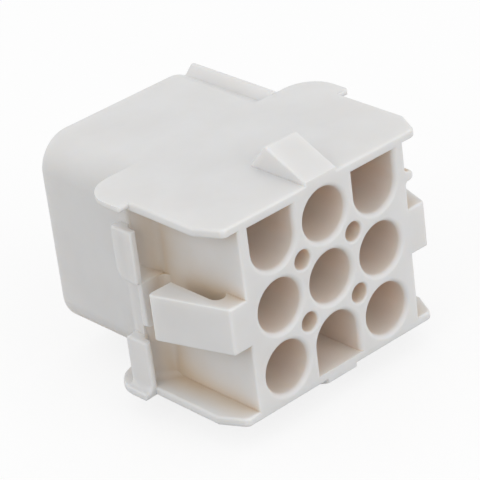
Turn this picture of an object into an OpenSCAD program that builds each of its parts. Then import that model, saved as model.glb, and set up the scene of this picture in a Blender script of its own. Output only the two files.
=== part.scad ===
// Cap housing for nine crimp contacts on a three by three grid: one moulding in natural nylon
// that snaps into a panel.
// X runs across the mating face, Z runs up it, and Y runs from the mating face (y = 0) through
// the panel to the wire entry. The origin is the centre of the middle cavity on the mating face.

/* [Contact grid] */
// Distance between neighbouring cavities, across and up
pitch = 6.35; // [6.1:0.05:7]
// Bore of a mating cavity, which is also the width of a keyed one
cavity_d = 5.15; // [4.6:0.05:5.4]
// Distance from the middle of a keyed cavity to its flat
key_flat = 2.75; // [2.55:0.05:2.9]
// Depth of the mating cavities
cavity_depth = 11.7; // [10:0.1:13]
// Bore of the collar that a contact's lances lock behind
collar_d = 3.8; // [3:0.1:4.4]
// Length of the collar
collar_len = 4; // [2:0.1:5]
// Bore of the wire entry
entry_d = 5.2; // [4.6:0.05:5.6]
// Length of the funnel from the wire entry down to the collar
funnel_len = 0.7; // [0.3:0.1:1.5]
// Bore of the blind core holes between the cavities
core_d = 1.9; // [1.2:0.05:2.2]
// Depth of the core holes, from both ends
core_depth = 10; // [4:0.5:11]
// Radius of the rounded rims of the mating cavities
rim_r = 0.5; // [0.1:0.05:0.55]
// Radius of the rounded rims of the core holes and the wire entries
small_rim_r = 0.25; // [0.1:0.05:0.35]

/* [Body] */
// Length from the mating face to the wire entry
body_len = 27.6; // [24:0.1:32]
// Wall outside the cavities at the sides of the front block
side_wall = 1.325; // [0.8:0.025:2]
// Thickness of the top and bottom plates
plate_t = 0.9; // [0.8:0.05:1.5]
// Wall outside the wire entries at the sides of the rear body
rear_wall = 1; // [0.8:0.05:2]
// Radius of the long edges of the rear body
rear_edge_r = 3.4; // [2:0.1:3.6]

/* [Plates] */
// How far the plates stand out past the block at the mating face
nose_reach = 1.55; // [0.8:0.05:2]
// How far the plates stand out past the block behind their lead-in
plate_reach = 2.88; // [2.4:0.02:3.1]
// Length of the slanted lead-in
lead_in_len = 2.65; // [1.5:0.05:4]
// Radius of the corners of the plates
plate_corner_r = 0.7; // [0.2:0.1:1]
// Distance from the mating face to the stops that rest on the panel
stop_y = 10.95; // [10:0.05:12]
// How far the ears stand out past the block
ear_reach = 4.1; // [3.8:0.05:5]
// Thickness of the ears, which are flush with the outside of the plates
ear_t = 0.65; // [0.5:0.05:0.75]
// Radius of the rounded back of the ears
ear_r = 3.25; // [2:0.05:4]
// Length of the straight side of the ears
ear_side = 2; // [1:0.05:3]

/* [Panel flange] */
// Thickness of the lips at the outer ends of the flange
lip_t = 0.65; // [0.4:0.05:0.9]
// How far the lips stand out past the block
lip_reach = 3.25; // [2.9:0.05:3.6]
// Depth of the lips from the stops to their back
lip_depth = 2.75; // [2.4:0.05:3.5]
// Radius of the back corner of the upper lip
lip_corner_r = 1.2; // [0.4:0.1:1.6]
// Gap between the upper lip and the ear above it
lip_gap = 2.3; // [1.5:0.1:3]
// Height of the top of the lower lip
lower_lip_z = -4.35; // [-5:0.05:-3.6]
// How far the web between the lips stands out past the block
web_reach = 2.15; // [1.8:0.05:2.5]
// Depth from the stops to the web at the lips
web_recess = 1.45; // [1:0.05:2]
// Depth from the stops to the web at the block
web_root = 0.1; // [0.1:0.05:0.8]
// Fillet of the web at the lips and at the bottom plate
web_fillet_r = 0.8; // [0.3:0.1:1]
// Fillet of the web at the block
web_corner_r = 1; // [0.3:0.1:1.2]
// Fillet of the lower lip at the ear
lip_fillet_r = 0.55; // [0.2:0.05:0.6]
// How far the stay behind a latch arm stands out past the block
stay_reach = 2.75; // [2.5:0.05:3.1]
// Length of the straight outer edge of the stay
stay_edge = 0.6; // [0.3:0.1:1]
// Height of the top of the stay
stay_top_z = 1.65; // [1.2:0.05:2.2]
// Height of the bottom of the stay
stay_bottom_z = -2.9; // [-3.3:0.05:-1.8]
// Fillet that joins the stay to the block
stay_fillet_r = 1; // [0.4:0.1:1.4]
// Fillet from the top of the stay up to the web
stay_top_r = 2; // [1.5:0.1:2.5]

/* [Latch arms] */
// Height of a latch arm
arm_h = 4.7; // [3:0.1:6]
// Distance from the mating face to the free end of an arm
arm_len = 8.2; // [7:0.1:9]
// How far an arm stands out past the block at the mating face
arm_nose_reach = 1.97; // [1.75:0.01:2.3]
// How far the free end of an arm stands out past the block
arm_tip_reach = 4.35; // [3.8:0.05:4.8]
// Radius of the outer edge of the free end
arm_tip_r = 0.4; // [0.1:0.05:0.6]
// Width of the slot between an arm and the block
slot_w = 1.67; // [1.2:0.01:1.7]
// Distance from the mating face to the closed end of the slot
slot_y = 2.05; // [1.5:0.05:3]

/* [Lock ramps] */
// Width of a lock ramp
ramp_w = 3.9; // [3:0.1:6]
// Height of a ramp above its plate
ramp_h = 2.45; // [1.5:0.05:2.8]
// Height of the step where a ramp starts
ramp_step = 0.3; // [0.1:0.05:0.5]
// Distance from the mating face to the ridge of a ramp
ramp_ridge_y = 4.8; // [3:0.1:5.5]
// Distance from the mating face to the foot of the back of a ramp
ramp_foot_y = 7.2; // [5.8:0.1:8]
// Radius of the ridge
ramp_ridge_r = 0.4; // [0.1:0.05:0.5]

/* [Keys] */
// Height of the side key's middle
side_key_z = 5.6; // [4:0.05:6.5]
// Thickness of the side key
side_key_t = 1; // [0.9:0.05:2]
// How far the side key stands out of the block
side_key_out = 0.95; // [0.5:0.05:1.3]
// Radius of the outer edges of the side key
side_key_r = 0.45; // [0.1:0.05:0.45]
// Fillet of the side key at the block
side_key_fillet_r = 0.3; // [0.1:0.05:0.45]
// Thickness of the key fin on the rear body
fin_t = 1.05; // [0.8:0.05:1.4]
// How far the key fin stands out of the rounded edge
fin_out = 1.5; // [0.6:0.05:1.6]
// Fillet of the key fin at the rear body
fin_fillet_r = 0.3; // [0.1:0.05:0.4]

/* [Hidden] */
$fn = 64;
// Steps in a quarter turn of a drawn arc
arc_steps = 8;
// Joined solids run this far into each other, and cuts this far past a face
lap = 0.05;

// The grid has a middle cavity and one on each side of it, both ways
places = [-1, 0, 1];
// Keyed cavities as [column, row, side that is square]: up is 1 and down is -1
keyed = [[-1, 1, 1], [1, 1, 1], [0, -1, -1]];
function key_side(column, row) =
    [for (k = keyed) if (k[0] == column && k[1] == row) k[2]];

// Half sizes of the body, measured from the middle cavity
block_x = pitch + cavity_d / 2 + side_wall;
inner_z = pitch + key_flat;
body_z = inner_z + plate_t;
rear_x = pitch + entry_d / 2 + rear_wall;

// Inside of the ears
ear_z = body_z - ear_t;

// Outer faces, and the depths that line up along Y
plate_x = block_x + plate_reach;
ear_x = block_x + ear_reach;
ear_back_y = stop_y + ear_side + ear_r;
lip_x = block_x + lip_reach;
web_x = block_x + web_reach;
web_y = stop_y + web_recess;
web_back_y = stop_y + lip_depth;
web_root_y = stop_y + web_root;
web_run = lip_reach - lip_t - web_fillet_r;
web_slant = atan2(web_y - web_root_y, web_run);
arm_x = block_x + slot_w;
slot_r = slot_w / 2;
entry_y = cavity_depth + collar_len;

// Points of an arc round (x, y) from angle a to angle b
function arc(x, y, r, a, b) =
    let (n = max(2, ceil(abs(b - a) / 90 * arc_steps)))
    [for (i = [0:n]) let (t = a + (b - a) * i / n) [x + r * cos(t), y + r * sin(t)]];

// An outline drawn in Y and Z, given its width in X
module side_profile(x0, x1) {
    translate([x0, 0, 0]) rotate([90, 0, 90]) linear_extrude(x1 - x0) children();
}

// An outline drawn in X and Z, given its run in Y
module front_profile(y0, y1) {
    translate([0, y1, 0]) rotate([90, 0, 0]) linear_extrude(y1 - y0) children();
}

// An outline drawn in X and Y, given its run in Z
module plan_profile(z0, z1) {
    translate([0, 0, z0]) linear_extrude(z1 - z0) children();
}

module on_both_sides() {
    children();
    mirror([1, 0, 0]) children();
}

module on_top_and_bottom() {
    children();
    mirror([0, 0, 1]) children();
}

module rod(d, y0, y1) {
    translate([0, y0, 0]) rotate([-90, 0, 0]) cylinder(d = d, h = y1 - y0);
}

// ---- Body ----

module rounded_section(half_x, half_z, r) {
    for (sx = [-1, 1], sz = [-1, 1])
        translate([sx * (half_x - r), sz * (half_z - r)]) circle(r);
    square([2 * half_x, 2 * (half_z - r)], center = true);
    square([2 * (half_x - r), 2 * half_z], center = true);
}

module front_block() {
    translate([-block_x, 0, -inner_z - lap])
        cube([2 * block_x, web_y, 2 * (inner_z + lap)]);
}

module rear_body() {
    front_profile(stop_y, body_len) rounded_section(rear_x, body_z, rear_edge_r);
}

// One half of a plate as far as the web: the slanted lead-in and the straight edge
module half_plate_outline() {
    slant = atan2(plate_reach - nose_reach, lead_in_len);
    r = plate_corner_r;
    corner_x = block_x + nose_reach - r * (1 - sin(slant)) / cos(slant);
    polygon(concat(
        [[-lap, 0]],
        arc(corner_x, r, r, -90, -slant),
        [[plate_x, lead_in_len], [plate_x, web_y], [-lap, web_y]]));
}

module half_ear_outline() {
    polygon(concat(
        [[-lap, stop_y], [ear_x, stop_y]],
        arc(ear_x - ear_r, stop_y + ear_side, ear_r, 0, 90),
        [[-lap, ear_back_y]]));
}

module plate() {
    plan_profile(inner_z, body_z) on_both_sides() half_plate_outline();
    plan_profile(body_z - ear_t, body_z) on_both_sides() half_ear_outline();
}

// ---- Panel flange ----

// Plan of the web, whose front slants back from the block
module web_outline() {
    r = web_corner_r;
    corner_y = web_root_y - r * (1 - sin(web_slant)) / cos(web_slant);
    polygon(concat(
        [[0, corner_y]],
        arc(block_x + r, corner_y, r, 180, 90 + web_slant),
        [[block_x + web_run, web_y], [web_x, web_y], [web_x, web_back_y], [0, web_back_y]]));
}

// Plan of a lip and of the fillet inside it
module lip_outline() {
    inside = lip_x - lip_t;
    polygon(concat(
        [[inside, stop_y], [lip_x, stop_y], [lip_x, web_back_y], [block_x, web_back_y],
         [block_x, web_y]],
        arc(inside - web_fillet_r, web_y - web_fillet_r, web_fillet_r, 90, 0)));
}

// Side view of the upper lip
module upper_lip_side() {
    top = ear_z - lip_gap;
    r = lip_corner_r;
    polygon(concat(
        [[stop_y, stay_top_z], [stop_y, top], [web_back_y, top]],
        arc(web_back_y - r, stay_top_z + r, r, 0, -90)));
}

module upper_lip() {
    intersection() {
        plan_profile(stay_top_z, ear_z) lip_outline();
        side_profile(0, lip_x + lap) upper_lip_side();
    }
}

module lower_lip() {
    plan_profile(-ear_z - lap, lower_lip_z) lip_outline();
    r = lip_fillet_r;
    front_profile(stop_y, web_back_y)
        polygon(concat(
            [[lip_x - lap, -ear_z + r]],
            arc(lip_x + r, -ear_z + r, r, 180, 270),
            [[lip_x + r, -ear_z - lap], [lip_x - lap, -ear_z - lap]]));
}

// Fillet along the foot of the web, which follows the slant of its front
module web_foot() {
    r = web_fillet_r;
    translate([block_x, web_root_y, -inner_z]) rotate(web_slant)
        side_profile(-r, web_run + r)
            polygon(concat(
                [[lap, -lap], [-r, -lap]],
                arc(-r, r, r, -90, 0),
                [[lap, r]]));
}

// The stay stands behind the latch arm, flush with the stops, and slants back to the rear body
module stay() {
    r = stay_fillet_r;
    x = block_x + stay_reach;
    plan_profile(stay_bottom_z, stay_top_z)
        polygon(concat(
            [[0, stop_y - r]],
            arc(block_x + r, stop_y - r, r, 180, 90),
            [[x, stop_y], [x, stop_y + stay_edge], [rear_x - lap, ear_back_y], [0, ear_back_y]]));
}

// Fillet from the top of the stay up to the web, cut off in line with the stops
module stay_fillet() {
    r = stay_top_r;
    side_profile(block_x - lap, lip_x - lip_t + lap)
        polygon(concat(
            [[web_y + lap, stay_top_z - lap], [stop_y, stay_top_z - lap]],
            arc(web_y - r, stay_top_z + r, r, -acos(1 - web_recess / r), 0),
            [[web_y + lap, stay_top_z + r]]));
}

module flange() {
    plan_profile(-ear_z - lap, ear_z + lap) web_outline();
    upper_lip();
    lower_lip();
    web_foot();
    stay();
    stay_fillet();
}

// ---- Latch arms ----

module arm_outline() {
    nose_x = block_x + arm_nose_reach;
    tip_x = block_x + arm_tip_reach;
    slant = atan2(tip_x - nose_x, arm_len - arm_tip_r);
    polygon(concat(
        [[0, 0], [nose_x, 0]],
        arc(tip_x - arm_tip_r, arm_len - arm_tip_r, arm_tip_r, -slant, 90),
        [[arm_x, arm_len]],
        arc(block_x + slot_r, slot_y + slot_r, slot_r, 0, -180),
        [[0, slot_y + slot_r]]));
}

module latch_arm() {
    plan_profile(-arm_h / 2, arm_h / 2) arm_outline();
}

// ---- Lock ramps and keys ----

module lock_ramp() {
    ridge_z = body_z + ramp_h;
    r = ramp_ridge_r;
    rise = atan2(ramp_h - ramp_step, ramp_ridge_y);
    fall = atan2(ramp_h, ramp_foot_y - ramp_ridge_y);
    side_profile(-ramp_w / 2, ramp_w / 2)
        polygon(concat(
            [[0, body_z - lap], [0, body_z + ramp_step]],
            arc(ramp_ridge_y, ridge_z - r, r, 90 + rise, 90 - fall),
            [[ramp_foot_y, body_z - lap]]));
}

module side_key() {
    out = block_x + side_key_out;
    r = side_key_r;
    foot = side_key_fillet_r;
    half = side_key_t / 2;
    front_profile(0, web_y)
        translate([0, side_key_z])
            polygon(concat(
                [[0, -half - foot]],
                arc(block_x + foot, -half - foot, foot, 180, 90),
                arc(out - r, -half + r, r, -90, 0),
                arc(out - r, half - r, r, 0, 90),
                arc(block_x + foot, half + foot, foot, 270, 180),
                [[0, half + foot]]));
}

// Half of the section of the fin, drawn along X from the middle of the rounded edge
module half_fin_section() {
    r = fin_fillet_r;
    tip = rear_edge_r + fin_out - fin_t / 2;
    foot_a = asin((fin_t / 2 + r) / (rear_edge_r + r));
    polygon(concat(
        [[0, 0], [tip + fin_t / 2, 0]],
        arc(tip, 0, fin_t / 2, 0, 90),
        arc((rear_edge_r + r) * cos(foot_a), fin_t / 2 + r, r, 270, 180 + foot_a)));
}

module fin(y0, y1) {
    front_profile(y0, y1)
        translate([rear_x - rear_edge_r, body_z - rear_edge_r])
            rotate(45) {
                half_fin_section();
                mirror([0, 1]) half_fin_section();
            }
}

// The fin runs along one rounded edge of the rear body, from under the ear to the wire entry
module key_fin() {
    fin(ear_back_y - lap, body_len);
    intersection() {
        fin(stop_y + lap, ear_back_y);
        cube([ear_x, ear_back_y, body_z - ear_t / 2]);
    }
}

// ---- Cavities ----

// Section through a rounded rim of radius r, drawn outward from a wall at x
module rim_section(x, r) {
    polygon(concat(
        [[x - r, -lap], [x + r, -lap]],
        arc(x + r, r, r, -90, -180),
        [[x - r, r]]));
}

// A hole that runs into the body from y = 0, with its rim
module rimmed_hole(d, depth, r) {
    rod(d, -lap, depth);
    rotate([-90, 0, 0]) rotate_extrude() rim_section(d / 2, r);
}

// A keyed cavity is round on one side and square on the other, here the upper one
module keyed_hole() {
    half = cavity_d / 2;
    intersection() {
        rimmed_hole(cavity_d, cavity_depth, rim_r);
        translate([-cavity_d, -lap, -cavity_d])
            cube([2 * cavity_d, cavity_depth + lap, cavity_d + lap]);
    }
    translate([-half, -lap, 0]) cube([cavity_d, cavity_depth + lap, key_flat]);
    on_both_sides() plan_profile(0, key_flat) rim_section(half, rim_r);
}

module mating_cavity(column, row) {
    side = key_side(column, row);
    if (len(side) == 0) rimmed_hole(cavity_d, cavity_depth, rim_r);
    else mirror([0, 0, side[0] < 0 ? 1 : 0]) keyed_hole();
}

// The wire entry leads through a funnel into the collar
module wire_entry() {
    rod(collar_d, cavity_depth - lap, entry_y + lap);
    translate([0, entry_y, 0]) rotate([-90, 0, 0])
        cylinder(d1 = collar_d, d2 = entry_d, h = funnel_len);
    translate([0, body_len, 0]) mirror([0, 1, 0])
        rimmed_hole(entry_d, body_len - entry_y - funnel_len, small_rim_r);
}

module core_hole() {
    rimmed_hole(core_d, core_depth, small_rim_r);
    translate([0, body_len, 0]) mirror([0, 1, 0]) rimmed_hole(core_d, core_depth, small_rim_r);
}

module holes() {
    for (column = places, row = places)
        translate([column * pitch, 0, row * pitch]) {
            mating_cavity(column, row);
            wire_entry();
        }
    for (sx = [-1, 1], sz = [-1, 1])
        translate([sx * pitch / 2, 0, sz * pitch / 2]) core_hole();
}

module housing() {
    color([0.86, 0.855, 0.83])
        difference() {
            union() {
                front_block();
                rear_body();
                on_top_and_bottom() {
                    plate();
                    lock_ramp();
                }
                on_both_sides() {
                    flange();
                    latch_arm();
                }
                side_key();
                key_fin();
            }
            holes();
        }
}

housing();
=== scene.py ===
"""Looks of the cap housing: a moulded natural nylon part on a plain pale floor."""
import math

import bmesh
import bpy
from mathutils import Matrix, Vector


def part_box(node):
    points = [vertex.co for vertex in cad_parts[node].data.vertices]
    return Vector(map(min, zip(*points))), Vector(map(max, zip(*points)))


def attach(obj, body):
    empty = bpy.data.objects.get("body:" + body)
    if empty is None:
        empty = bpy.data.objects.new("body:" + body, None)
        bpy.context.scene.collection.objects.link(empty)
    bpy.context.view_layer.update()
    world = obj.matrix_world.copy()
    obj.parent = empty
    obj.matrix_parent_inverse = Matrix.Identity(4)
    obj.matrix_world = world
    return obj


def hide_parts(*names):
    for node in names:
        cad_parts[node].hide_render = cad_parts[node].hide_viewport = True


MM = 0.001
WHITE = (1, 1, 1, 1)

# Camera: where it stands as seen from the part's origin, and the lens that goes with it
CAMERA_AZIMUTH = -39.49
CAMERA_ELEVATION = 28.03
CAMERA_ROLL = -7.415
CAMERA_DISTANCE = 234.84 * MM
# How far right of and below the middle of the view the origin lies, at that distance
ORIGIN_RIGHT = 8.258 * MM
ORIGIN_DOWN = 3.309 * MM
# Width of the sensor and focal length, which Blender counts in millimetres
SENSOR = 36.0
LENS = 196.785
# Nothing nearer to the camera than this is drawn
NEAREST_SEEN = 10 * MM

# Radius of the moulded edges, and the steepest joint between facets that stays a smooth curve
EDGE_RADIUS = 0.25 * MM
EDGE_SEGMENTS = 3
SMOOTH_ANGLE = math.radians(32)
FLAT_ANGLE = math.radians(0.3)
MERGE_DISTANCE = 0.002 * MM
# Smallest share of the radius worth having, and the nooks too narrow for any
LEAST_SHARE = 0.2
SHARP_NOOK = math.radians(40)
# Share of the way to the edge across that a rounding may take, where that one is rounded or crisp
SHARE_TO_ROUND = 0.4
SHARE_TO_CRISP = 0.9
# How squarely one edge has to face another before it takes room from it
ACROSS = 0.6
# Square of the shortest length that counts, so that nothing is divided by zero
LEAST_SQUARE = 1e-18
# How strongly large faces pull the shading of their corners level
LEVEL_WEIGHT = 100

# Nylon colours: the two ends of its faint mottle, and the painted shade and painted light of the wells
# and side pockets: a darker, warmer roof, a paler floor and mouth
OUTSIDE_DULL = (0.698, 0.694, 0.688, 1)
OUTSIDE_CLEAR = (0.722, 0.721, 0.720, 1)
# Painted shade under the wells' roofs, painted light on their floors and mouths
WELL_ROOF_PAINTED_SHADE = (0.70, 0.52, 0.37, 1)
WELL_FLOOR_PAINTED_LIGHT = (0.83, 0.74, 0.665, 1)
WELL_MOUTH_PAINTED_LIGHT = (0.81, 0.755, 0.71, 1)
# Painted shade in the side pockets
POCKET_PAINTED_SHADE = (0.64, 0.525, 0.40, 1)
# Distances out to the side over which the pockets' painted shade comes in, and over which it goes
# again
POCKET_WALL = (9.0 * MM, 10.0 * MM)
POCKET_MOUTH = (10.5 * MM, 12.6 * MM)
# Distance up or down over which the painted shade and light of the wells and pockets end
HOLLOW_TOP = (9.1 * MM, 9.3 * MM)
# How far round a point the surroundings count as closing it in for the painted shade, and how finely
# they are looked at
HOLLOW_REACH = 6.0 * MM
HOLLOW_SAMPLES = 16
# Openness, from 0 to 1, over which a well's painted shade turns to its mouth's painted light and a
# hollow's painted shade to the plain outside
OPEN_AS_MOUTH = (0.25, 0.65)
OPEN_AS_OUTSIDE = (0.45, 0.85)
# How far up a face looks, from -1 to 1, where a well's painted colour turns from the shaded roof to
# the lit floor
ROOF_TO_FLOOR = (-1.0, 0.4)

# Nylon skin: about how many spots of mottle, flow marks and grains lie along a metre
MOTTLE_SCALE = 180.0
FLOW_SCALE = 900.0
GRAIN_SCALE = 5200.0
# The stretch of each noise that counts, and the roughness that the flow marks give
MOTTLE_RANGE = (0.35, 0.65)
FLOW_RANGE = (0.3, 0.7)
ROUGHNESS = (0.42, 0.52)
GRAIN_STRENGTH = 0.08
GRAIN_DEPTH = 0.02 * MM
NYLON_IOR = 1.53
# Light carried under the skin: its share, how far it goes, and the part of that in red, green and blue
GLOW_SHARE = 0.6
GLOW_REACH = 1.8 * MM
GLOW_SPREAD = (1.0, 0.85, 0.7)

# Floor: half its width in metres, the gap that keeps it clear of the part, and its faint speckle
FLOOR_REACH = 3.0
FLOOR_GAP = 0.05 * MM
SPECKLE_SCALE = 300.0
FLOOR_ROUGHNESS = (0.6, 0.7)
# Share of plain background white in what the camera sees of the floor
FLOOR_WHITE_SHARE = 0.8
# Brightness of the floor to the camera, and of what it throws back at the object
FLOOR_SEEN = 0.97
FLOOR_BOUNCE = 0.5

# Light: strength of the even light all round, and the softboxes' width and distance in metres
ROUND_LIGHT = 0.83
SOFTBOX_WIDTH = 0.5
SOFTBOX_DISTANCE = 0.6


# ---- Shape ----

def nearest_on(edge, point):
    """The point of a straight edge that lies nearest to a given one."""
    start, finish = (vert.co for vert in edge.verts)
    along = finish - start
    share = (point - start).dot(along) / max(along.length_squared, LEAST_SQUARE)
    return start + along * min(max(share, 0), 1)


def steps_between(edge, other):
    """The shortest steps from an edge to another one, as taken from the ends of each."""
    for vert in other.verts:
        yield vert.co - nearest_on(edge, vert.co)
    for vert in edge.verts:
        yield nearest_on(other, vert.co) - vert.co


def room_beside(loop):
    """Largest radius, up to the full one, that a face leaves one of its edges."""
    edge = loop.edge
    room = EDGE_RADIUS
    inward = loop.face.normal.cross(loop.link_loop_next.vert.co - loop.vert.co).normalized()
    for other in loop.face.edges:
        if not set(edge.verts) & set(other.verts):
            share = SHARE_TO_ROUND if other.tag else SHARE_TO_CRISP
            for step in steps_between(edge, other):
                if step.dot(inward) > ACROSS * step.length:
                    room = min(room, share * step.length)
    return room


def beside_nook(loop):
    """Whether a crisp edge of the face makes a narrow nook with the loop's own edge."""
    for other in loop.face.edges:
        meeting = set(loop.edge.verts) & set(other.verts)
        if other is not loop.edge and meeting and not other.tag:
            corner = meeting.pop()
            arms = [side.other_vert(corner).co - corner.co for side in (loop.edge, other)]
            if arms[0].angle(arms[1]) < SHARP_NOOK:
                return True
    return False


def room_to_round(edge):
    """Largest radius that the faces beside an edge leave it before it meets what lies across."""
    if any(beside_nook(loop) for loop in edge.link_loops):
        return 0
    return min(room_beside(loop) for loop in edge.link_loops)


def runs(edges):
    """Groups of tagged edges that follow on from each other round gentle bends."""
    waiting = set(edges)
    while waiting:
        run = [waiting.pop()]
        for edge in run:
            for corner in edge.verts:
                along = corner.co - edge.other_vert(corner).co
                for other in corner.link_edges:
                    onward = other.other_vert(corner).co - corner.co
                    if other in waiting and along.angle(onward) < SMOOTH_ANGLE:
                        waiting.remove(other)
                        run.append(other)
        yield run


def weigh_moulded_edges(work):
    """Give the sharp outer edges the rounding that a mould leaves; inner corners stay crisp."""
    for edge in work.edges:
        edge.tag = edge.is_convex and edge.calc_face_angle() > SMOOTH_ANGLE
    weight = work.edges.layers.float.new("bevel_weight_edge")
    for run in runs(edge for edge in work.edges if edge.tag):
        share = min(room_to_round(edge) for edge in run) / EDGE_RADIUS
        for edge in run:
            edge[weight] = share if share > LEAST_SHARE else 0


def prepare_faces(mesh):
    """Join the CAD mesh's triangles into whole faces, and weigh their edges for rounding."""
    work = bmesh.new()
    work.from_mesh(mesh)
    bmesh.ops.remove_doubles(work, verts=work.verts, dist=MERGE_DISTANCE)
    bmesh.ops.dissolve_limit(
        work, angle_limit=FLAT_ANGLE, verts=work.verts, edges=work.edges
    )
    weigh_moulded_edges(work)
    work.to_mesh(mesh)
    work.free()


def round_edges(piece):
    """Round the weighed edges of a piece, each by its own share of the radius."""
    bevel = piece.modifiers.new("moulded edges", "BEVEL")
    bevel.width = EDGE_RADIUS
    bevel.segments = EDGE_SEGMENTS
    bevel.limit_method = "WEIGHT"
    bevel.miter_outer = "MITER_ARC"
    bevel.loop_slide = False
    bevel.use_clamp_overlap = False
    graph = bpy.context.evaluated_depsgraph_get()
    piece.data = bpy.data.meshes.new_from_object(piece.evaluated_get(graph))
    piece.modifiers.clear()


def shade_curves(piece):
    """Shade gentle bends as curves and steep ones as corners, and keep large faces level."""
    work = bmesh.new()
    work.from_mesh(piece.data)
    for face in work.faces:
        face.smooth = True
    for edge in work.edges:
        edge.smooth = edge.calc_face_angle(0) < SMOOTH_ANGLE
    work.to_mesh(piece.data)
    work.free()
    level = piece.modifiers.new("level faces", "WEIGHTED_NORMAL")
    level.keep_sharp = True
    level.weight = LEVEL_WEIGHT


def softened_copy(node):
    """A copy of the CAD solid's mesh with its sharp edges rounded as a mould leaves them."""
    mesh = node.data.copy()
    mesh.name = "housing_shell"
    prepare_faces(mesh)
    piece = bpy.data.objects.new("housing_shell", mesh)
    bpy.context.scene.collection.objects.link(piece)
    round_edges(piece)
    shade_curves(piece)
    return piece


# ---- Materials ----

class Nodes:
    """Short names for building the node tree of a material or a world."""

    def __init__(self, owner):
        owner.use_nodes = True
        self.tree = owner.node_tree
        self.tree.nodes.clear()

    def add(self, kind, inputs=None, **settings):
        """A new node. An input that is a socket is linked, and any other is a plain value."""
        node = self.tree.nodes.new(kind)
        for key, value in settings.items():
            setattr(node, key, value)
        for key, value in (inputs or {}).items():
            if isinstance(value, bpy.types.NodeSocket):
                self.tree.links.new(value, node.inputs[key])
            else:
                node.inputs[key].default_value = value
        return node

    def noise(self, place, scale, detail=2.0):
        """Soft noise from 0 to 1 over a place."""
        inputs = {"Vector": place, "Scale": scale, "Detail": detail}
        return self.add("ShaderNodeTexNoise", inputs).outputs["Fac"]

    def spread(self, value, given, wanted=(0.0, 1.0)):
        """A value stretched from the given range onto the wanted one, and held at its ends."""
        inputs = {"Value": value, "From Min": given[0], "From Max": given[1],
                  "To Min": wanted[0], "To Max": wanted[1]}
        return self.add("ShaderNodeMapRange", inputs).outputs["Result"]

    def blend(self, share, first, second):
        """The first colour, turned to the second by a share from 0 to 1."""
        inputs = {"Fac": share, "Color1": first, "Color2": second}
        return self.add("ShaderNodeMixRGB", inputs).outputs["Color"]

    def maths(self, operation, *values):
        """The result of one operation on one or two values."""
        node = self.add("ShaderNodeMath", dict(enumerate(values)), operation=operation)
        return node.outputs["Value"]

    def on_rays(self, *kinds):
        """1 on light paths of these kinds and 0 on all others."""
        path = self.add("ShaderNodeLightPath").outputs
        found = path[kinds[0]]
        for kind in kinds[1:]:
            found = self.maths("MAXIMUM", found, path[kind])
        return found


def mottled_outside(n, place):
    """The outside's colour, with the faint mottle of natural nylon."""
    ramp = n.add("ShaderNodeValToRGB", {"Fac": n.noise(place, MOTTLE_SCALE, 3.0)})
    ramp.color_ramp.elements[0].position = MOTTLE_RANGE[0]
    ramp.color_ramp.elements[0].color = OUTSIDE_DULL
    ramp.color_ramp.elements[1].position = MOTTLE_RANGE[1]
    ramp.color_ramp.elements[1].color = OUTSIDE_CLEAR
    return ramp.outputs["Color"]


def painted_well_light_and_shade(n, facing, openness):
    """The wells' painted light and shade: a darker, warmer painted shade under the roof, paler painted
    light on the floor and towards the mouth.
    """
    upward = n.add("ShaderNodeSeparateXYZ", {"Vector": facing}).outputs["Z"]
    # Painted shade on faces looking down, painted light on faces looking up
    deep = n.blend(n.spread(upward, ROOF_TO_FLOOR), WELL_ROOF_PAINTED_SHADE, WELL_FLOOR_PAINTED_LIGHT)
    return n.blend(n.spread(openness, OPEN_AS_MOUTH), deep, WELL_MOUTH_PAINTED_LIGHT)


def nylon_colour_and_painted_shade(n, place, facing):
    """The mottled outside's colour, and painted shade and light, warmer than the outside, in the wells
    and the side pockets where they are closed in.
    """
    around = n.add("ShaderNodeAmbientOcclusion", {"Distance": HOLLOW_REACH},
                   samples=HOLLOW_SAMPLES)
    openness = around.outputs["AO"]
    spot = n.add("ShaderNodeSeparateXYZ", {"Vector": place}).outputs
    side = n.maths("ABSOLUTE", spot["X"])
    height = n.maths("ABSOLUTE", spot["Z"])
    well = painted_well_light_and_shade(n, facing, openness)
    # Painted shade where the surroundings close a point in, fading to the plain mottled outside where
    # it is open
    hollow = n.blend(n.spread(side, POCKET_WALL), well, POCKET_PAINTED_SHADE)
    beyond = n.maths("MAXIMUM", n.spread(side, POCKET_MOUTH), n.spread(height, HOLLOW_TOP))
    clear = n.maths("MAXIMUM", beyond, n.spread(openness, OPEN_AS_OUTSIDE))
    return n.blend(clear, hollow, mottled_outside(n, place))


def nylon():
    """Natural nylon with a fine satin skin, a faint mottle, a slight glow in depth, and painted shade
    and light in its wells and side pockets.
    """
    material = bpy.data.materials.new("natural_nylon")
    n = Nodes(material)
    coordinates = n.add("ShaderNodeTexCoord").outputs
    place = coordinates["Object"]
    skin = n.add("ShaderNodeBump", {
        "Height": n.noise(place, GRAIN_SCALE), "Strength": GRAIN_STRENGTH,
        "Distance": GRAIN_DEPTH,
    })
    body = n.add("ShaderNodeBsdfPrincipled", {
        "Base Color": nylon_colour_and_painted_shade(n, place, coordinates["Normal"]),
        "Roughness": n.spread(n.noise(place, FLOW_SCALE, 4.0), FLOW_RANGE, ROUGHNESS),
        "Normal": skin.outputs["Normal"], "IOR": NYLON_IOR,
        "Subsurface Weight": GLOW_SHARE, "Subsurface Radius": GLOW_SPREAD,
        "Subsurface Scale": GLOW_REACH,
    })
    n.add("ShaderNodeOutputMaterial", {"Surface": body.outputs["BSDF"]})
    return material


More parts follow.
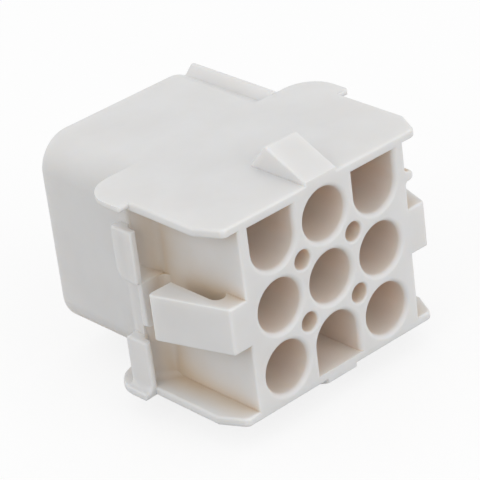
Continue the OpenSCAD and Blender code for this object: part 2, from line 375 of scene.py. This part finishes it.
def floor_white():
    """White for the camera with the part's shadow on it, and a plain pale grey for the part."""
    material = bpy.data.materials.new("floor_white")
    n = Nodes(material)
    place = n.add("ShaderNodeTexCoord").outputs["Object"]
    seen = n.on_rays("Is Camera Ray", "Is Glossy Ray")
    body = n.add("ShaderNodeBsdfPrincipled", {
        "Base Color": n.spread(seen, (0, 1), (FLOOR_BOUNCE, FLOOR_SEEN)),
        "Roughness": n.spread(n.noise(place, SPECKLE_SCALE), (0, 1), FLOOR_ROUGHNESS),
        "Specular IOR Level": 0.0,
    })
    white = n.add("ShaderNodeEmission", {"Color": WHITE, "Strength": 1.0})
    share = n.maths("MULTIPLY", seen, FLOOR_WHITE_SHARE)
    both = n.add("ShaderNodeMixShader", {0: share, 1: body.outputs["BSDF"],
                                         2: white.outputs["Emission"]})
    n.add("ShaderNodeOutputMaterial", {"Surface": both.outputs["Shader"]})
    return material


# ---- Studio ----

def floor(height):
    """A wide level floor at a height."""
    work = bmesh.new()
    bmesh.ops.create_grid(work, x_segments=2, y_segments=2, size=FLOOR_REACH)
    mesh = bpy.data.meshes.new("floor")
    work.to_mesh(mesh)
    work.free()
    mesh.materials.append(floor_white())
    plane = bpy.data.objects.new("floor", mesh)
    plane.location.z = height
    bpy.context.scene.collection.objects.link(plane)


def world_light(strength):
    """Even light from all round, which looks plain white wherever it is seen."""
    world = bpy.data.worlds.new("studio")
    bpy.context.scene.world = world
    n = Nodes(world)
    seen = n.on_rays("Is Camera Ray", "Is Glossy Ray", "Is Transmission Ray")
    white = n.add("ShaderNodeBackground", {"Color": WHITE, "Strength": 1.0})
    soft = n.add("ShaderNodeBackground", {"Color": WHITE, "Strength": strength})
    both = n.add("ShaderNodeMixShader", {0: seen, 1: soft.outputs["Background"],
                                         2: white.outputs["Background"]})
    n.add("ShaderNodeOutputWorld", {"Surface": both.outputs["Shader"]})


def softbox(name, toward, watts):
    """An area lamp that stands off the origin in direction toward and faces it."""
    lamp = bpy.data.lights.new(name, "AREA")
    lamp.shape = "DISK"
    lamp.size = SOFTBOX_WIDTH
    lamp.energy = watts
    box = bpy.data.objects.new(name, lamp)
    direction = Vector(toward).normalized()
    box.location = direction * SOFTBOX_DISTANCE
    box.rotation_euler = direction.to_track_quat("Z", "Y").to_euler()
    bpy.context.scene.collection.objects.link(box)


def camera():
    """The camera at the photograph's place, roll and lens."""
    az, el, roll = (math.radians(a) for a in (CAMERA_AZIMUTH, CAMERA_ELEVATION, CAMERA_ROLL))
    back = Vector((math.sin(az) * math.cos(el), -math.cos(az) * math.cos(el), math.sin(el)))
    right = (-back).cross(Vector((0, 0, 1))).normalized()
    up = right.cross(-back)
    turned_right = math.cos(roll) * right + math.sin(roll) * up
    turned_up = -math.sin(roll) * right + math.cos(roll) * up
    data = bpy.data.cameras.new("camera")
    data.sensor_width = SENSOR
    data.lens = LENS
    data.clip_start = NEAREST_SEEN
    eye = bpy.data.objects.new("camera", data)
    axes = Matrix((turned_right, turned_up, back)).transposed()
    place = back * CAMERA_DISTANCE - turned_right * ORIGIN_RIGHT + turned_up * ORIGIN_DOWN
    eye.matrix_world = Matrix.Translation(place) @ axes.to_4x4()
    bpy.context.scene.collection.objects.link(eye)
    bpy.context.scene.camera = eye


# ---- Scene ----

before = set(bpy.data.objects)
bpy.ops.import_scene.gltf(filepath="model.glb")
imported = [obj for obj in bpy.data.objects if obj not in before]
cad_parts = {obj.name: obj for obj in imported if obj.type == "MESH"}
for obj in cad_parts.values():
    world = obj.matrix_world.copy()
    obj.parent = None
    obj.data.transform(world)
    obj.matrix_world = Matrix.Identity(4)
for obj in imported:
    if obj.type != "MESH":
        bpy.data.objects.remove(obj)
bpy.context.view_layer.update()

shell = softened_copy(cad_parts["housing"])
shell.data.materials.clear()
shell.data.materials.append(nylon())
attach(shell, "root")
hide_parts("housing")

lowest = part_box("housing")[0]
floor(lowest.z - FLOOR_GAP)
world_light(ROUND_LIGHT)
softbox("front", toward=(0.2, -0.95, 0.3), watts=1.1)
softbox("left", toward=(-0.85, -0.1, 0.5), watts=0.57)
camera()
bpy.context.scene.view_settings.view_transform = "Standard"
